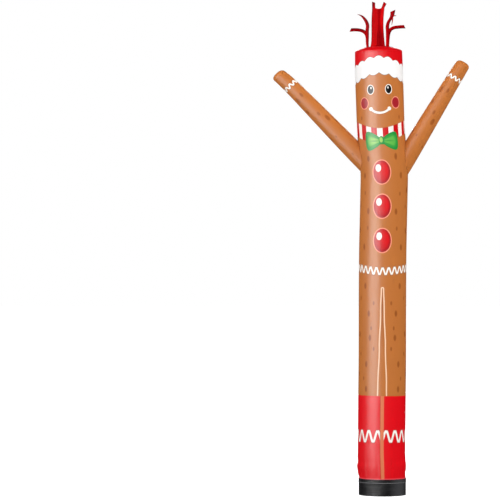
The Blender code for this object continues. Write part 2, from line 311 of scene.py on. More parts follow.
tube = {
    "radius": 0.1562,   # of the round that the flat cloth is cut for
    "wall": 0.0012, "columns": 184,
    "rows": ((0.11, 2), (0.3, 32), (1.98, 66), (2.58, 50), (2.87, 12)),   # up to a height, how many
    "seamHalf": 0.0065,   # the felled seam up the back, half its width
    "seamEdge": (0.0055, 0.0072),   # the step beside it
    "seamLift": 0.0011,
    "gatherWaves": ((5, 0.6, 0), (9, 0.4, 0)),
    "smallWaves": ((17, 0.4, 0.9), (26, 0.35, 2.1), (37, 0.25, 4.0)),
    "crownWaves": ((31, 0.6, 0.4), (19, 0.4, 1.7)),
    "crownFade": 0.022,   # how far down the crown's puckers reach
    "crownDepth": 0.0009,
    "shoulderZone": (2.0, 2.56),
    "sections": (   # height, lean, radius, gather
        (0.086, 0, 0.1525, 0), (0.11, 0, 0.1525, 0), (0.122, 0, 0.1528, 0.0008),
        (0.145, -0.0005, 0.1545, 0.0045), (0.17, -0.001, 0.159, 0.003), (0.197, -0.002, 0.1608, 0.0034),
        (0.225, -0.003, 0.1565, 0.001), (0.252, -0.004, 0.1572, 0.0015), (0.29, -0.005, 0.1563, 0.0004),
        (0.4, -0.0047, 0.1565, 0), (0.62, -0.0027, 0.1565, 0), (0.9, 0, 0.1563, 0),
        (1.25, 0.0007, 0.1562, 0), (1.6, 0.0028, 0.156, 0), (1.8, 0.007, 0.156, 0),
        (1.98, 0.0108, 0.156, 0), (2.1, 0.0128, 0.1562, 0), (2.2, 0.0085, 0.1566, 0),
        (2.3, -0.001, 0.157, 0), (2.4, -0.009, 0.1573, 0), (2.5, -0.013, 0.1574, 0),
        (2.6, -0.0162, 0.1577, 0), (2.74, -0.0208, 0.158, 0), (2.87, -0.024, 0.1567, 0),
        (2.916, -0.0253, 0.1561, 0),
    ),
    "frontRadius": (   # the same, height and radius, in front and behind
        (0.086, 0.1525), (0.114, 0.1525), (0.135, 0.1536), (0.165, 0.1552), (0.2, 0.1563), (0.24, 0.1566),
        (0.29, 0.1563), (0.4, 0.1565),
    ),
    "smallGather": (   # height, depth
        (0.086, 0), (0.112, 0), (0.122, 0.0007), (0.14, 0.0016), (0.17, 0.0011), (0.215, 0.0007),
        (0.28, 0.0003), (0.36, 0), (3.0, 0),
    ),
}
girth = 2 * pi * tube["radius"]
crownHeight = tube["sections"][-1][0]


@cache
def tubeLevel(height):   # lean, its slope, radius, gather, small gather
    rows = tube["sections"]
    step = 0.004
    low, high = max(height - step, rows[0][0]), min(height + step, rows[-1][0])
    slope = (readCurve(rows, high, 1) - readCurve(rows, low, 1)) / (high - low)
    small = readCurve(tube["smallGather"], height, 1)
    return readCurve(rows, height, 1), slope, readCurve(rows, height, 2), readCurve(rows, height, 3), small


def crownDraw(angle, fromSeam):   # the crown seam draws both cloths in
    pucker = ripples(tube["crownWaves"], angle) - 1.0
    return tube["crownDepth"] * pucker * exp(-fromSeam / tube["crownFade"])


def tubePoint(arc, height, lift=0.0):   # arc runs round the cloth
    lean, slope, radius, gather, small = tubeLevel(height)
    angle = arc / tube["radius"]
    flank = sin(angle) ** 2   # 1 at the sides, 0 in front and behind
    radius += lift - gather * flank * ripples(tube["gatherWaves"], angle - pi / 2)
    if height < tube["frontRadius"][-1][0]:
        radius += (readCurve(tube["frontRadius"], height, 1) - radius + lift) * (1.0 - flank)
    radius += small * ripples(tube["smallWaves"], angle) + crownDraw(angle, crownHeight - height)
    fromBack = girth / 2 - abs(arc)
    radius += tube["seamLift"] * clamped((tube["seamHalf"] - fromBack) / 0.0012 + 0.5)
    side = radius * sin(angle)
    point = Vector((footX + lean + side, -radius * cos(angle), height - slope * side))
    low, high = tube["shoulderZone"]
    return armPucker(point) if low < height < high else point


def insideTube(point):   # how far a point lies inside the tube's cloth
    height = point.z
    for _ in range(4):
        lean, slope, radius = tubeLevel(height)[:3]
        height = point.z + slope * (point.x - footX - lean)
    return radius - hypot(point.x - footX - lean, point.y)


# The arms. An arm's seat is where its axis meets the tube's side, sag how far its tip drops.

Arm = namedtuple("Arm", "name node seatX seatZ rise length sag")   # seat x runs from the foot's axis
sleeve = {
    "wall": 0.0011, "sides": 96,
    "rows": ((0.06, 14), (0.9, 46), (1.0, 12), (1.6, 8), (1.9, 6), (2.0, 6)),
    "evenFrom": 0.06,   # from here on the rows lie square to the arm
    "bore": (0.12, -0.1),   # the arm hole's cut, inwards and outwards from the seat
    "printRadius": 0.056,   # of the round that the sleeve's print is drawn for
    "tipLength": 0.032,
    "tipSquare": 2.6,   # 2 would be an oval
    "sagLength": 0.06, "puckers": 22, "puckerDepth": 0.0009, "puckerFade": 0.02,
    "puckerStart": 0.008,   # none on the seam itself, full from here
    "arms": (
        Arm("armLeft", "arm_left", -0.1576, 2.2374, radians(134.1), 0.765, 0.014),
        Arm("armRight", "arm_right", 0.1705, 2.2374, radians(59.1), 0.714, 0.004),
    ),
    "sections": (   # from the tip, radius
        (0.032, 0.047), (0.07, 0.049), (0.12, 0.0505), (0.24, 0.0535), (0.38, 0.0572), (0.52, 0.0605),
        (0.64, 0.063), (0.76, 0.0645), (0.9, 0.065),
    ),
}


def armAxis(arm):   # its seat, its direction and the level side of it
    direction = Vector((cos(arm.rise), 0.0, sin(arm.rise)))
    seat = Vector((footX + arm.seatX, 0.0, arm.seatZ))
    return seat, direction, Vector((direction.z, 0.0, -direction.x))


def armRadius(fromTip):
    tip, square = sleeve["tipLength"], sleeve["tipSquare"]
    if fromTip < tip:   # a rounded end
        return sleeve["sections"][0][1] * max(1.0 - (1.0 - fromTip / tip) ** square, 0.0) ** (1.0 / square)
    return readCurve(sleeve["sections"], fromTip, 1)


def armPoint(arm, angle, fromTip, lift=0.0):
    seat, direction, beside = armAxis(arm)
    down = beside if beside.z < 0 else -beside
    middle = seat + direction * (arm.length - fromTip) + down * arm.sag * exp(-fromTip / sleeve["sagLength"])
    around = beside * sin(angle) + Vector((0.0, -cos(angle), 0.0))
    return middle + around * max(armRadius(fromTip) + lift, 0.0)


@cache
def armRoot(arm, angle, gap=seamGap, lift=0.0):   # from the tip to the tube
    low, high = arm.length - 0.15, arm.length + 0.25
    for _ in range(26):
        middle = (low + high) / 2
        if insideTube(armPoint(arm, angle, middle, lift)) > -gap:
            high = middle
        else:
            low = middle
    return low


def puckerDepth(away):
    return sleeve["puckerDepth"] * min(away / sleeve["puckerStart"], 1.0) * exp(-away / sleeve["puckerFade"])


def armPucker(point):   # draws the tube's cloth in beside an arm's seam
    for arm in sleeve["arms"]:
        seat, direction, beside = armAxis(arm)
        away = point - seat
        off = away - direction * away.dot(direction)
        if away.dot(direction) > -0.12 and off.length < 0.12:
            turn = atan2(off.dot(beside), -off.y)
            depth = puckerDepth(abs(off.length - armRadius(arm.length)))
            outward = Vector((point.x - footX, point.y, 0.0)).normalized()
            point = point + outward * depth * (cos(sleeve["puckers"] * turn) - 1.0)
    return point


# The top panel and the hair's band, both turned about the head's axis

top = {
    "rise": 0.034, "power": 0.8,
    "rim": 0.004,   # the panel's upright edge at the crown seam
    "vent": 0.055, "wall": 0.0012, "sides": 160, "flatPart": 0.1,
    "hem": 0.008,   # the vent's turned hem
    "hemLift": 0.001, "bandOuter": 0.096, "bandInner": 0.066, "bandWall": 0.0016,
}
crownRadius = tube["sections"][-1][2]
crownX = footX + tube["sections"][-1][1]
headFrame = (Matrix.Translation((crownX, 0.0, crownHeight))
             @ Matrix.Rotation(atan(tubeLevel(crownHeight)[1]), 4, 'Y'))


def domeHeight(radius):
    share = min(radius / crownRadius, 1.0)
    return top["rim"] + top["rise"] * (1.0 - share ** 2) ** top["power"]


def domePoint(angle, radius, lift=0.0):   # past the rim it runs down the upright edge
    height = domeHeight(radius) + lift
    if radius > crownRadius:
        height -= radius - crownRadius
        radius = crownRadius
    fromSeam = crownRadius - radius + height - top["rim"]
    return headFrame @ roundSpot(angle, radius + crownDraw(angle, max(fromSeam, 0.0)), height + seamGap)


# Colours of the cloth and its print

ink = {
    "ginger": (196, 117, 55), "gingerDark": (150, 76, 26), "tan": (229, 124, 82), "paleLine": (255, 217, 184),
    "red": (233, 2, 20), "redDark": (150, 10, 22), "capRed": (224, 1, 16), "buttonRed": (224, 0, 14),
    # the darker streamer red on the next line is painted shade
    "scarfRed": (208, 0, 16), "streamer": (226, 0, 4), "streamerDark": (100, 0, 8), "cheek": (172, 32, 44),
    "pink": (243, 92, 104), "peach": (255, 160, 132), "cream": (255, 251, 243), "white": (255, 255, 254),
    "trimShade": (150, 160, 178), "line": (92, 60, 44), "black": (10, 9, 10),
    # the palest green on the next line also paints a highlight on the bow's left wing
    "leafDark": (14, 148, 62), "leaf": (84, 184, 72), "leafPale": (168, 216, 104),
    # the next line's third grey is a painted highlight on the collar
    "collar": (17, 17, 18), "rib": (42, 42, 45), "rubbed": (70, 70, 72), "streak": (74, 74, 76),
    "hemLine": (104, 104, 106), "collarThread": (150, 150, 152), "darkThread": (66, 66, 70),
    "redThread": (176, 8, 18), "brownThread": (142, 80, 34),
}

prints = {
    "hem": 0.1165,   # the red fades below this
    "bootTop": 0.657,
    "bootGap": (0.002, 0.0115),   # middle, half width
    "bootWave": {"height": 0.391, "period": 0.063, "swing": 0.031, "half": 0.0078, "arch": 0.002},
    "bootWaveShift": 0.004,
    "waistWave": {"height": 1.493, "period": girth / 24, "swing": 0.018, "half": 0.006, "arch": -0.02},
    "legTop": 1.367,
    "legHalf": (0.0078, 0.0345, 1.32),   # at the top, its growth per metre, from this height
    "legLine": 0.004,
    "buttons": {"first": 1.674, "pitch": 0.224, "wide": 0.0632, "tall": 0.0828, "rim": 0.0066,
                "start": 0.004, "aside": 0.0062,   # of the lowest one, and what each next one adds
                "lit": (0.022, 0.012), "gleam": (-0.0215, 0.0275, 0.0185, 0.025)},
    "spotSides": girth / 4,   # the spots are mirrored here
    "spotShift": (0.0138, 2.03, 0.45),   # aside at the chest, its height, its reach
    "largeSpots": (0.0102, 0.02, (   # half width, half height, then across and height
        (0.095, 2.218), (0.134, 2.101), (0.097, 1.865), (0.137, 1.631), (0.1255, 1.376), (0.094, 1.196),
        (0.086, 1.037), (0.115, 0.864), (0.115, 0.701), (0.205, 2.01), (0.196, 1.74), (0.212, 1.48),
        (0.19, 1.06), (0.208, 0.8),
    )),
    "smallSpots": (0.0068, 0.0135, (
        (0.128, 1.983), (0.102, 1.754), (0.173, 1.296), (0.059, 1.264), (0.077, 1.1), (0.059, 0.965),
        (0.173, 0.932), (0.138, 0.77), (0.139, 2.48), (0.186, 1.9), (0.226, 1.2), (0.23, 2.18),
    )),
    "bow": {"height": 2.3255, "knot": 0.015, "reach": 0.1125, "inner": 0.0235, "outer": 0.0815, "round": 0.09,
            "tilt": 0.06,   # undoes the head's lean
            "knots": ((-0.002, 0.004, 0.0175, 0.0275), (-0.004, 0.007, 0.0115, 0.019))},
    "scarf": {"height": 2.413, "half": 0.047, "arch": -0.05, "pairs": 13, "shift": -0.027},
    "trim": {"low": 2.716, "high": 2.81, "arch": 0.058, "scallops": 15, "depth": 0.015, "line": 0.003},
    "face": {
        "eye": (0.06, 2.662, 0.0195, 0.0275),   # across, height, half width, half height
        "cheek": (0.111, 2.575, 0.029, 0.035),
        "rim": 0.005,
        "smile": (2.592, 0.083, 0.061, 0.0072),   # centre height, radius, half reach, half line
    },
    "sleeveSpots": (0.066, 0.12, 0.135, 0.75),   # wide and tall cells, size, jitter
    "sleeveWave": {"height": 0.125, "period": 2 * pi * sleeve["printRadius"] / 9, "swing": 0.0095,
                   "half": 0.0056},
}


# The print. Each function yields what it lays on, in order: where, and which colour.

def ovalAt(across, along, x, y, wide, tall):   # 1 on the oval's edge, less inside it
    spread, lift = (across - x) / wide, (along - y) / tall
    return (spread * spread + lift * lift).calc("SQRT")


def waveLine(across, along, sizes, arch=None):
    half = sizes["period"] / 2
    ramp = across.calc("PINGPONG", half).calc("MULTIPLY_ADD", 2.0 / half, -1.0)
    square = ramp * ramp
    bend = ramp * square.calc("MULTIPLY_ADD", -0.5, 1.5)   # straight flanks, rounded turns
    middle = bend * sizes["swing"] + sizes["height"]
    if arch:
        middle = middle + arch * sizes["arch"]
    steep = 3.0 * sizes["swing"] / half
    slope = square.calc("MULTIPLY_ADD", -steep, steep)
    off = abs(along - middle) / (slope * slope + 1.0).calc("SQRT")
    yield off.under(sizes["half"] + 0.0022, 0.004) * 0.55, "line"
    yield off.under(sizes["half"]), "cream"


def printSpots(across, along, sizes, strength):   # soft ovals, all in one coat
    wide, tall, places = sizes
    spread, lift = across / wide, along / tall
    nearest = None
    for x, y in places:
        off, up = spread - x / wide, lift - y / tall
        square = up.calc("MULTIPLY_ADD", up, off * off)
        nearest = nearest.calc("MINIMUM", square) if nearest else square
    yield nearest.under(1.0, 1.1) * strength, "gingerDark"


def printLegs(across, along):   # the narrow outline between the legs
    half, growth, start = prints["legHalf"]
    top = prints["legTop"]
    gap = along.calc("MULTIPLY_ADD", -growth, half + growth * start).calc("MAXIMUM", half)
    gap = gap + (along * 26.0).calc("SINE") * 0.0011
    over = (along - (top - half)).calc("MAXIMUM", 0.0)
    away = (across * across + over * over).calc("SQRT")
    yield abs(across).under(gap) * along.under(top) * along.over(top - 0.3, 0.3) * 0.55, "gingerDark"
    yield abs(away - gap).under(prints["legLine"]) * along.over(prints["bootTop"]), "paleLine"


def printBoots(across, along, arch):
    middle, half = prints["bootGap"]
    boots = along.under(prints["bootTop"])
    fromStripe = abs(across - middle)
    yield boots, "red"
    yield from waveLine(fromStripe + prints["bootWaveShift"], along, prints["bootWave"], arch)
    yield fromStripe.under(half) * boots, "tan"
    yield abs(across - (middle - half)).under(0.0022, 0.004) * boots * 0.5, "gingerDark"


def printButtons(across, along):   # three glazed ovals with a bright spot
    first, pitch, wide, tall, rim, start, aside, lit, gleam = prints["buttons"].values()
    step = ((along - first) / pitch).calc("ROUND").calc("MAXIMUM", 0.0).calc("MINIMUM", 2.0)
    spot = (across + step * aside + start, along - step * pitch - first)
    fromLit = ovalAt(*spot, *lit, wide, tall).over(0.75, 0.9) * 0.55
    rimShade = ovalAt(*spot, -0.006, 0.004, wide - rim, tall - rim).over(0.93, 0.3) * 0.75
    face = across.paint(1.0, "buttonRed").paint(fromLit, "redDark").paint(rimShade, "redDark")
    yield ovalAt(*spot, 0.0, 0.0, wide, tall).under(1.0, 0.025), "peach"
    yield (ovalAt(*spot, 0.0, 0.0, wide - rim, tall - rim).under(1.0, 0.025),
           face.paint(ovalAt(*spot, *gleam).under(1.0, 0.16), "cream"))


def printFace(across, along):   # plain round eyes, rosy rounds and an icing line
    face = prints["face"]
    out, rim = abs(across), face["rim"]
    for kind, edge, inside in (("cheek", "peach", "cheek"), ("eye", "cream", "black")):
        x, y, wide, tall = face[kind]
        yield ovalAt(out, along, x, y, wide + rim, tall + rim).under(1.0, 0.06), edge
        yield ovalAt(out, along, x, y, wide, tall).under(1.0, 0.06), inside
    gleam = ovalAt(out, along, x - wide * 0.2, y + tall * 0.4, wide * 0.24, tall * 0.26)
    yield gleam.under(1.0, 0.4), "cream"
    centre, radius, reach, half = face["smile"]
    drop = along - centre
    ring = abs((across * across + drop * drop).calc("SQRT") - radius)
    line, shadow = (ring.under(half + more, soft) * out.under(reach) * drop.under(0.0)
                    for more, soft in ((0.0, 0.0016), (0.0025, 0.003)))
    ends = ovalAt(out, drop, reach, -sqrt(radius ** 2 - reach ** 2), half * 1.75, half * 1.75)
    yield shadow * 0.6, "line"
    yield line.calc("MAXIMUM", ends.under(1.0, 0.15)), "cream"


def printScarf(across, along, arch):   # a striped band that dips in front
    scarf = prints["scarf"]
    off = abs(along - arch * scarf["arch"] - scarf["height"])
    turn = (across - scarf["shift"]) * (scarf["pairs"] / tube["radius"])
    stripe = across.paint(1.0, "scarfRed").paint(turn.calc("SINE").over(0.06, 0.1), "cream")
    yield off.under(scarf["half"]), stripe.paint(off.over(scarf["half"] - 0.003, 0.005) * 0.35, "redDark")


def printBow(across, along):   # two plain wings and a knot
    bow = prints["bow"]
    lift = along - bow["height"] + across * bow["tilt"]
    out = abs(across)
    share = ((out - bow["knot"]) / (bow["reach"] - bow["knot"])).calc("MAXIMUM", 0.0)
    tall = share.calc("POWER", 0.8) * (bow["outer"] - bow["inner"]) + bow["inner"]
    wing = (abs(lift) - tall).calc("SMOOTH_MAX", out - bow["reach"], bow["round"])
    fan = (lift / (out + 0.012)).calc("MULTIPLY", 7.5).calc("COSINE").calc("POWER", 6.0)
    fold = fan * out.under(0.07, 0.05) * wing.under(-0.004, 0.008)
    knot, shine = (ovalAt(across, lift, *sizes) for sizes in bow["knots"])
    yield wing.under(0.0), "leafDark"
    yield wing.under(-0.015, 0.016), "leaf"
    # pale print inside the wings, much stronger on the left wing as a painted highlight
    yield wing.under(-0.026, 0.022) * (across.under(0.0, 0.01) * 0.55 + 0.2), "leafPale"
    yield fold.calc("MULTIPLY", 0.75, clamp=True), "leafDark"
    yield knot.under(1.0, 0.06), "leafDark"
    yield shine.under(0.9, 0.45), "leafPale"


def printTrim(across, along, arch):   # a white scalloped band under the red cap
    trim = prints["trim"]
    level = along - arch * trim["arch"]
    turn = across * (trim["scallops"] / (2 * tube["radius"]))
    bumps, between = (abs((turn + shift).calc("SINE")) * trim["depth"] for shift in (0.0, pi / 2))
    low, high = level - trim["low"] + bumps, level - trim["high"] - between
    white = across.paint(1.0, "white").paint(low.under(0.022, 0.04) * 0.1, "trimShade")
    yield high.over(0.0), "capRed"
    yield low.over(-trim["line"]) * high.under(trim["line"] * 0.7), "line"
    yield low.over(0.0) * high.under(0.0), white


def drawWrap(across, along):   # arch is 1 in the middle of the front and back, 0 at the sides
    arch = (across * (2.0 / tube["radius"])).calc("COSINE").calc("MULTIPLY_ADD", 0.5, 0.5)
    shift, chest, reach = prints["spotShift"]
    aside = abs((along - chest) * (pi / 2 / reach)).calc("MINIMUM", pi / 2).calc("COSINE")
    mirrored = (across + aside * shift).calc("PINGPONG", prints["spotSides"])
    waist = prints["waistWave"]
    yield 1.0, "ginger"
    yield from printSpots(mirrored, along, prints["largeSpots"], 0.85)
    yield from printSpots(mirrored, along, prints["smallSpots"], 0.75)
    yield from printLegs(across, along)
    yield from waveLine(across + waist["period"] / 2, along, waist, arch)
    yield from printBoots(across, along, arch)
    yield from printButtons(across, along)
    yield from printFace(across, along)
    yield from printScarf(across, along, arch)
    yield from printBow(across, along)
    yield from printTrim(across, along, arch)
    yield along.under(prints["hem"], 0.003) * 0.6, "pink"


def drawSleeve(across, along):
    spots = ovals(across + 0.02, along + 0.05, *prints["sleeveSpots"])
    yield 1.0, "ginger"
    yield spots * along.over(0.15, 0.02) * 0.7, "gingerDark"
    yield from waveLine(across, along, prints["sleeveWave"])


def drawCap(across, along):
    yield 1.0, "capRed"


def drawStreamer(across, along):   # painted shade from each piece's stored tone: darker along creases, on sides turned away from the light, at edges and ends
    yield 1.0, "streamer"
    yield addNode(across.tree, "Attribute", {}, "Fac", attribute_name="fold"), "streamerDark"


def drawCollar(across, along):
    # painted highlight: a lighter grey patch on the right of the front, and its twin behind
    rubbed = ((across - collar["rubbed"]) * (2.0 / (collar["bore"] + collar["wall"]))).calc("COSINE")
    yield 1.0, "collar"
    yield plainWeave(across, along, collar["rib"]).over(0.3, 0.6) * 0.3, "rib"
    yield rubbed.over(0.72, 0.56) * 0.8, "rubbed"
    yield mottle(across, along, 0.16, 0.006).over(0.62, 0.3) * 0.3, "streak"
    yield abs(along - collar["hemLine"]).under(0.0024, 0.0012) * 0.85, "hemLine"


@cache
def makeThread(name):
    material, shader = newMaterial(name, 0.55)
    x, y, z = splitUp(addNode(material.node_tree, "TexCoord", {}, "Object"))
    twist = ((x + y + z * 1.3) * 5200.0).calc("SINE").over(0.1, 0.9)
    plug(shader.inputs["Base Color"], x.paint(1.0, name).paint(twist * 0.35, (0.02, 0.015, 0.012, 1.0)))
    return material


# Pieces

def makeBore(arm):   # a closed round that cuts the arm's hole
    bm = startCloth()
    layPanel(bm, evenly(-pi, pi, sleeve["sides"]), [arm.length + reach for reach in sleeve["bore"]],
             lambda angle, fromTip: armPoint(arm, angle, fromTip, -sleeve["wall"]))
    bmesh.ops.remove_doubles(bm, verts=bm.verts, dist=mergeBelow)
    bmesh.ops.holes_fill(bm, edges=[edge for edge in bm.edges if edge.is_boundary], sides=0)
    return addObject(f"{arm.name}Bore", meshOf(f"{arm.name}Bore", bm))


def makeTube(material):
    half, (near, far) = girth / 2, tube["seamEdge"]
    columns = stops(-half, (-half + near, 2), (-half + far, 2), (half - far, tube["columns"]),
                    (half - near, 2), (half, 2))
    rows = stops(tube["sections"][0][0], *tube["rows"], (crownHeight, 14))
    mesh = wrapPanel("bodyTube", columns, rows, tubePoint)
    wrap = addCloth("bodyTube", mesh, material, "printed_cloth", "body_tube", ["baseCollar"], tube["wall"])
    bores = [makeBore(arm) for arm in sleeve["arms"]]
    for bore in bores:
        cut = wrap.modifiers.new("Arm hole", 'BOOLEAN')
        cut.operation = 'DIFFERENCE'
        cut.object = bore
    settle(wrap)
    for bore in bores:
        bpy.data.objects.remove(bore, do_unlink=True)


def makeArm(arm, material):   # share is 0 at the root, 1 where the even rows start and 2 at the tip
    angles = evenly(-pi, pi, sleeve["sides"])
    even = sleeve["evenFrom"]

    def reach(angle, share):   # distance from the tip
        root = armRoot(arm, angle)
        return even * (2.0 - share) if share >= 1.0 else root + (even - root) * share

    def place(angle, share):
        fromTip = reach(angle, share)
        draw = puckerDepth(armRoot(arm, angle) - fromTip) * (cos(sleeve["puckers"] * angle) - 1.0)
        return armPoint(arm, angle, fromTip, draw)

    mesh = wrapPanel(arm.name, angles, stops(0.0, *sleeve["rows"]), place,
                     lambda angle, share: (angle * sleeve["printRadius"], reach(angle, share)))
    length = max(armRoot(arm, angle) for angle in angles)
    radii = [armRadius(fromTip) for fromTip in evenly(0.0, length, 100)]
    addCloth(arm.name, mesh, material, "arm_cloth", arm.node, ["bodyTube"], sleeve["wall"],
             flat=(2 * pi * max(radii), length), area=2 * pi * sum(radii) / len(radii) * length)


def makeRing(name, radii, place, *cloth):   # round the head's axis
    mesh = wrapPanel(name, evenly(-pi, pi, top["sides"]), radii, place,
                     lambda angle, radius: roundSpot(angle, radius).xy)
    addCloth(name, mesh, *cloth)


def makeTopPanel(material):
    vent, hem = top["vent"], top["vent"] + top["hem"]
    radii = stops(crownRadius + top["rim"], (crownRadius, 4), (crownRadius - 0.02, 10),
                  (top["flatPart"], 10), (hem + 0.001, 8), (hem, 1), (vent + 0.001, 4), (vent, 2))

    def place(angle, radius):
        return domePoint(angle, radius, top["hemLift"] * clamped((hem + 0.0008 - radius) / 0.0008))

    makeRing("topPanel", radii, place, material, "top_cloth", "top_panel", ["bodyTube"], top["wall"])


def makeBand(material):
    outer, inner = top["bandOuter"], top["bandInner"]
    radii = stops(outer, (outer - 0.001, 2), (inner + 0.001, 8), (inner, 2))
    makeRing("hairBand", radii, lambda angle, radius: domePoint(angle, radius, seamGap + 0.0002), material,
             "hair_cloth", "hair_streamers", ["topPanel"], top["bandWall"], 1)


collar = {
    "bore": 0.1528, "wall": 0.003, "height": 0.11, "hemLow": 0.083, "hemStep": 0.0009,
    "round": 0.0008, "sides": 160,
    "hemAllowance": 0.027,   # turned under inside the band
    "rib": 0.0016,
    "rubbed": 0.132,   # across the flat band, where the painted highlight is brightest
    "hemLine": 0.1979,   # along it, under the hem's stitches
}


def makeCollar(material):
    bore, step, low, high, corner = (collar[key] for key in ("bore", "hemStep", "hemLow", "height", "round"))
    outer = bore + collar["wall"]
    hem = outer + step
    outline = [(bore, high - corner), (bore, 0.05), (bore, 0.0), (outer - corner, 0.0), (outer, corner)]
    outline += [(outer, height) for height in evenly(0.004, low - 0.0016, 9)]
    outline += [(outer + step * 0.2, low - 0.0009), (hem - 0.0003, low), (hem, low + 0.001)]
    outline += [(hem, height) for height in evenly(low + 0.003, high - 0.003, 5)]
    outline += [(hem, high - corner), (hem - corner, high), (bore + corner, high), outline[0]]
    lengths = lengthsAlong(outline)

    def place(angle, n):
        radius, height = outline[n]
        if radius > outer - 0.0001:   # the outer side is a little uneven
            radius += 0.0005 * (sin(7 * angle + 1.0) + sin(12 * angle)) * sin(pi * height / high) - 0.0004
        if height > low:
            radius += 0.0002 * cos(43 * angle)
        return roundSpot(angle, radius, height) + Vector((footX, 0.0, 0.0))

    mesh = wrapPanel("baseCollar", evenly(-pi, pi, collar["sides"]), range(len(outline)), place,
                     lambda angle, n: (angle * outer, lengths[n]))
    addCloth("baseCollar", mesh, material, "collar_cloth", "base_collar", (),
             flat=(2 * pi * outer, high + collar["hemAllowance"]))


# The hair. Side and depth run from the head's axis, up from the crown seam; None is sewn into the band.

hair = {   # in millimetres
    "wall": 1.0,
    "cup": 2.2,   # how far a strip's middle stands off its edges
    "rows": 44, "columns": 6,
    "strips": {   # side, depth, up, width, turn in degrees
        "hairLeftHigh": (
            (-71.3, 48, None, 28, -56), (-73.5, 52, 60, 29.1, -50), (-73.5, 55, 98, 29.1, -42),
            (-74, 58, 138, 28, -34), (-71.5, 60, 172, 25.8, -28), (-81.5, 62, 200, 22.4, -25),
            (-98.5, 64, 223, 16.8, -25), (-116.5, 66, 237, 9, -25), (-137.5, 67, 244.5, 2, -25),
        ),
        "hairLeftLow": (
            (-70.5, 28.5, None, 28, -68), (-73.5, 31, 60, 29.1, -62), (-76, 34, 95, 29.1, -54),
            (-83, 37, 119, 28, -46), (-98, 40, 134, 27.5, -40), (-117, 42, 141, 25.2, -36),
            (-145, 43, 145, 24.2, -34), (-185, 42, 144, 25.5, -34),
        ),
        "hairRightHigh": (
            (58, 63.5, None, 26.9, 42), (59.5, 64, 60, 28, 40), (60, 65, 98, 28, 37), (60, 66, 130, 28, 34),
            (58.5, 67, 162, 26.9, 30), (63.5, 68, 187, 23.5, 27), (75, 69, 209, 20.2, 20),
            (86, 70, 226, 22.4, 8), (92, 70, 246, 26.9, -8), (94.5, 69, 266, 33.6, -20),
        ),
        "hairRightLow": (
            (62, 43.9, None, 26.9, 55), (62.5, 46, 60, 29.1, 52), (64, 49, 95, 29.1, 47),
            (69, 52, 125, 29.1, 42), (80, 55, 145, 27.5, 38), (100, 57, 156, 25.2, 34),
            (132, 58, 161, 24.2, 32), (172.5, 57, 163, 25.5, 32),
        ),
    },
    "slants": {"hairLeftLow": -6, "hairRightLow": 5, "hairRightHigh": 8.5},   # of the cut ends
    "branches": {   # torn off a strip's end
        "hairRightHigh": (
            ((89.5, 70, 238, 18, -35), (90.5, 71, 218, 13, -25), (91, 73, 198, 7, -20),
             (86.5, 74, 172, 2, -20)),
            ((91, 69, 236, 12, 30), (103, 70, 234, 8, 30), (117, 71, 235, 2, 30)),
        ),
    },
    "branchReach": 30,   # how far before the end they start
    "wide": (   # up, left, ridge, valley, right, depth, crease
        (None, -52, -14, 32, 44, 72, 8.5), (60, -48, -12, 30, 40, 70, 8), (98, -46, -9, 25, 37, 68.5, 7),
        (140, -46, -6, 18, 34, 67, 6), (180, -46, -4, 12, 33, 65, 5), (225, -45, -4, 12, 34, 63, 4.5),
        (280, -42, -4, 20, 39, 60, 5),
    ),
    "folds": (0, 0.42, 0.78, 1.0),   # shares across the flat strip: its edges and creases, where the painted shade also changes tone
    "horns": (   # shares across, then side, depth, up of both corners, twice
        (0.0, 0.24, ((-42, 59, 305), (-21.5, 59, 305)), ((-42.5, 57, 328), (-21, 57, 321))),
        (0.76, 1.0, ((26.5, 59, 306), (46.5, 59, 301)), ((33.5, 56, 328), (53.5, 56, 313))),
    ),
    "hornLength": 46,   # on the flat cloth
    "tornEdge": (287, 6),   # its height at the sides, its sag
    "flatWidth": 105,
}


def metres(*sizes):
    return [size if size is None else size / 1000 for size in sizes]


def headPoint(side, depth, up):
    if up is None:
        height = domeHeight(hypot(side, depth)) + 2 * seamGap + top["bandWall"] / 2
        return headFrame @ Vector((side, -depth, height))
    return Vector((crownX + side, -depth, crownHeight + up))


def rootUp(side, depth):
    return headPoint(side, depth, None).z - crownHeight


def fray(x, y, z):
    return 0.0006 * noise.noise(Vector((x, y, z)))


def layRibbon(bm, stations, start, slant=0.0):   # a narrow strip: cupped, turned, frayed
    table = []
    length = start
    for *sizes, turn in stations:
        side, depth, up, width = metres(*sizes)
        up = rootUp(side, depth) if up is None else up
        if table:
            length += dist((side, depth, up), table[-1][1:4])
        table.append((length, side, depth, up, width, turn))

    def middle(along):
        return headPoint(*(readCurve(table, along, column) for column in (1, 2, 3)))

    def cut(across, along):   # what the slanted end adds along the strip
        return slant * across * max(4 * (along - start) / (length - start) - 3, 0.0)

    def place(across, along):
        step = 0.002
        heading = (middle(min(along + step, length)) - middle(max(along - step, start))).normalized()
        flat = Vector((0.0, 1.0, 0.0)).cross(heading).normalized()
        width, turn = readCurve(table, along, 4), radians(readCurve(table, along, 5))
        sideways = flat * cos(turn) + heading.cross(flat) * sin(turn)
        edge = across * width / 2 + fray(along * 240.0, across * 9.0, table[0][1] * 300.0) * abs(across)
        cup = hair["cup"] / 1000 * (1.0 - across * across) * width / table[0][4]
        return middle(along) + heading * cut(across, along) + sideways * edge + sideways.cross(heading) * cup

    def fold(across, along):   # painted shade: the right half, turned away from the light, and the ends darker
        share = (along - start) / (length - start)
        return clamped(0.6 + 0.3 * across + 0.35 * abs(across) ** 3 + 0.25 * (share - 0.5))

    layPanel(bm, evenly(-1.0, 1.0, hair["columns"]), evenly(start, length, hair["rows"]), place,
             lambda across, along: (across * readCurve(table, along, 4) / 2, along + cut(across, along)),
             fold)
    return length


def addStreamer(name, bm, material, smoothBelow=50):
    addCloth(name, sewUp(name, bm), material, "hair_cloth", "hair_streamers", ["hairBand"],
             hair["wall"] / 1000, 0, smoothBelow=smoothBelow, held="hung")


